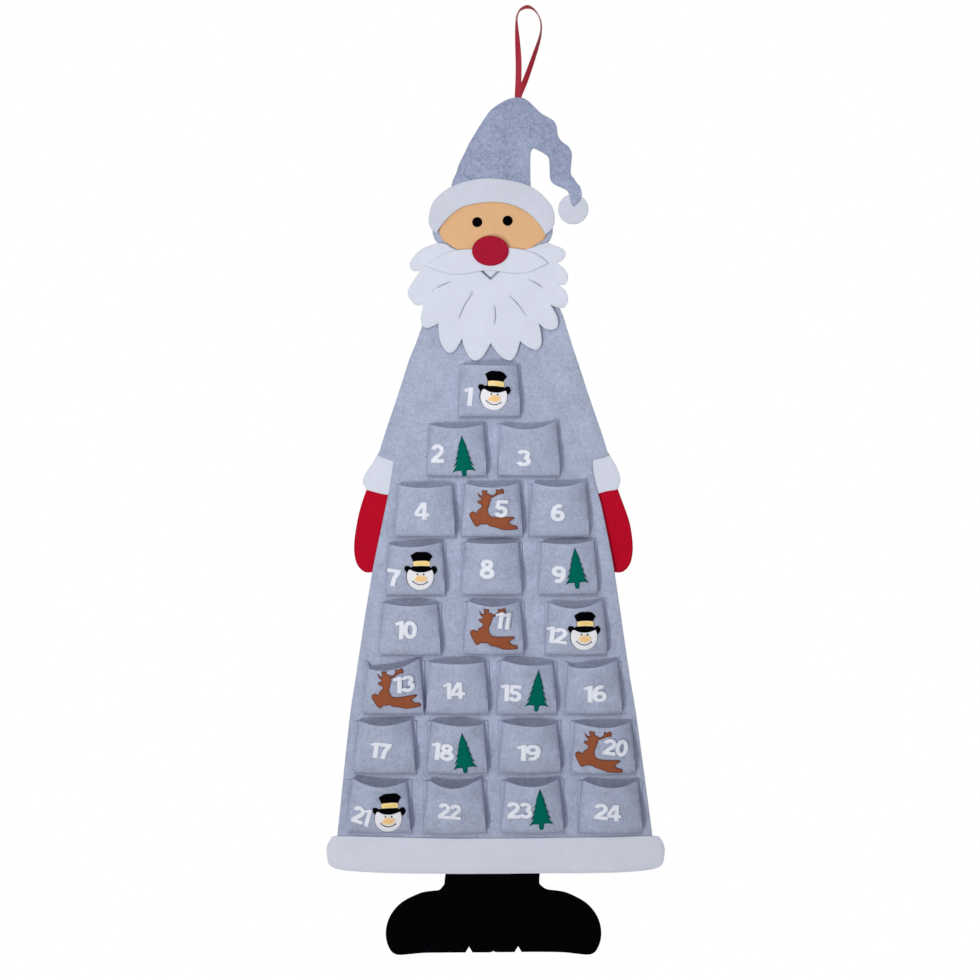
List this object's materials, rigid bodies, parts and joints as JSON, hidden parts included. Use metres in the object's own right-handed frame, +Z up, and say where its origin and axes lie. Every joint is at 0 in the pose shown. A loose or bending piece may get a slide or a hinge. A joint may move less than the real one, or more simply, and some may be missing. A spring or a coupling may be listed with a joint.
{
  "type": "advent calendar",
  "caption": "Felt wall hanging in the shape of a Father Christmas, with a sewn box pocket for each day of advent and a ribbon loop to hang it by",
  "frame": {"origin": "top of the ribbon loop, where it hangs on its nail", "axes": "+Z up along the figure, the figure's front faces -Y and its back faces +Y, +X towards the side that the hat's tail hangs on"},
  "size_m": [0.3928, 0.0298, 1.1049],
  "materials": {
    "grey_felt": "grey-blue melange wool felt, matt",
    "white_felt": "off-white felt, matt",
    "red_felt": "red felt, matt",
    "peach_felt": "peach felt, matt",
    "black_felt": "black felt, matt",
    "green_felt": "deep green felt, matt",
    "brown_felt": "red-brown felt, matt",
    "ribbon_satin": "dark red satin ribbon, soft sheen"
  },
  "bodies": {
    "ribbon": {"ribbon_loop": "ribbon_satin"},
    "figure": {"beard": "white_felt", "boots": "black_felt", "cuff_left": "white_felt", "cuff_right": "white_felt", "eye_left": "black_felt", "eye_right": "black_felt", "face": "peach_felt", "hat": "grey_felt", "hat_brim": "white_felt", "hem_band": "white_felt", "mitten_left": "red_felt", "mitten_right": "red_felt", "moustache": "white_felt", "nose": "red_felt", "pocket_01": "grey_felt", "pocket_02": "grey_felt", "pocket_03": "grey_felt", "pocket_04": "grey_felt", "pocket_05": "grey_felt", "pocket_06": "grey_felt", "pocket_07": "grey_felt", "pocket_08": "grey_felt", "pocket_09": "grey_felt", "pocket_10": "grey_felt", "pocket_11": "grey_felt", "pocket_12": "grey_felt", "pocket_13": "grey_felt", "pocket_14": "grey_felt", "pocket_15": "grey_felt", "pocket_16": "grey_felt", "pocket_17": "grey_felt", "pocket_18": "grey_felt", "pocket_19": "grey_felt", "pocket_20": "grey_felt", "pocket_21": "grey_felt", "pocket_22": "grey_felt", "pocket_23": "grey_felt", "pocket_24": "grey_felt", "pompom": "white_felt", "reindeer_05": "brown_felt", "reindeer_11": "brown_felt", "reindeer_13": "brown_felt", "reindeer_20": "brown_felt", "ribbon_tails": "ribbon_satin", "robe_panel": "grey_felt", "snowman_face_01": "white_felt", "snowman_face_07": "white_felt", "snowman_face_12": "white_felt", "snowman_face_21": "white_felt", "snowman_hat_01": "black_felt", "snowman_hat_07": "black_felt", "snowman_hat_12": "black_felt", "snowman_hat_21": "black_felt", "tree_02": "green_felt", "tree_09": "green_felt", "tree_15": "green_felt", "tree_18": "green_felt", "tree_23": "green_felt"}
  },
  "joints": [
    {"name": "loop_fold", "type": "hinge", "parent": "ribbon", "child": "figure", "pos_m": [-0.01045, -0.0016, -0.1043], "axis": [1, 0, 0], "range_deg": [-90, 170]}
  ]
}
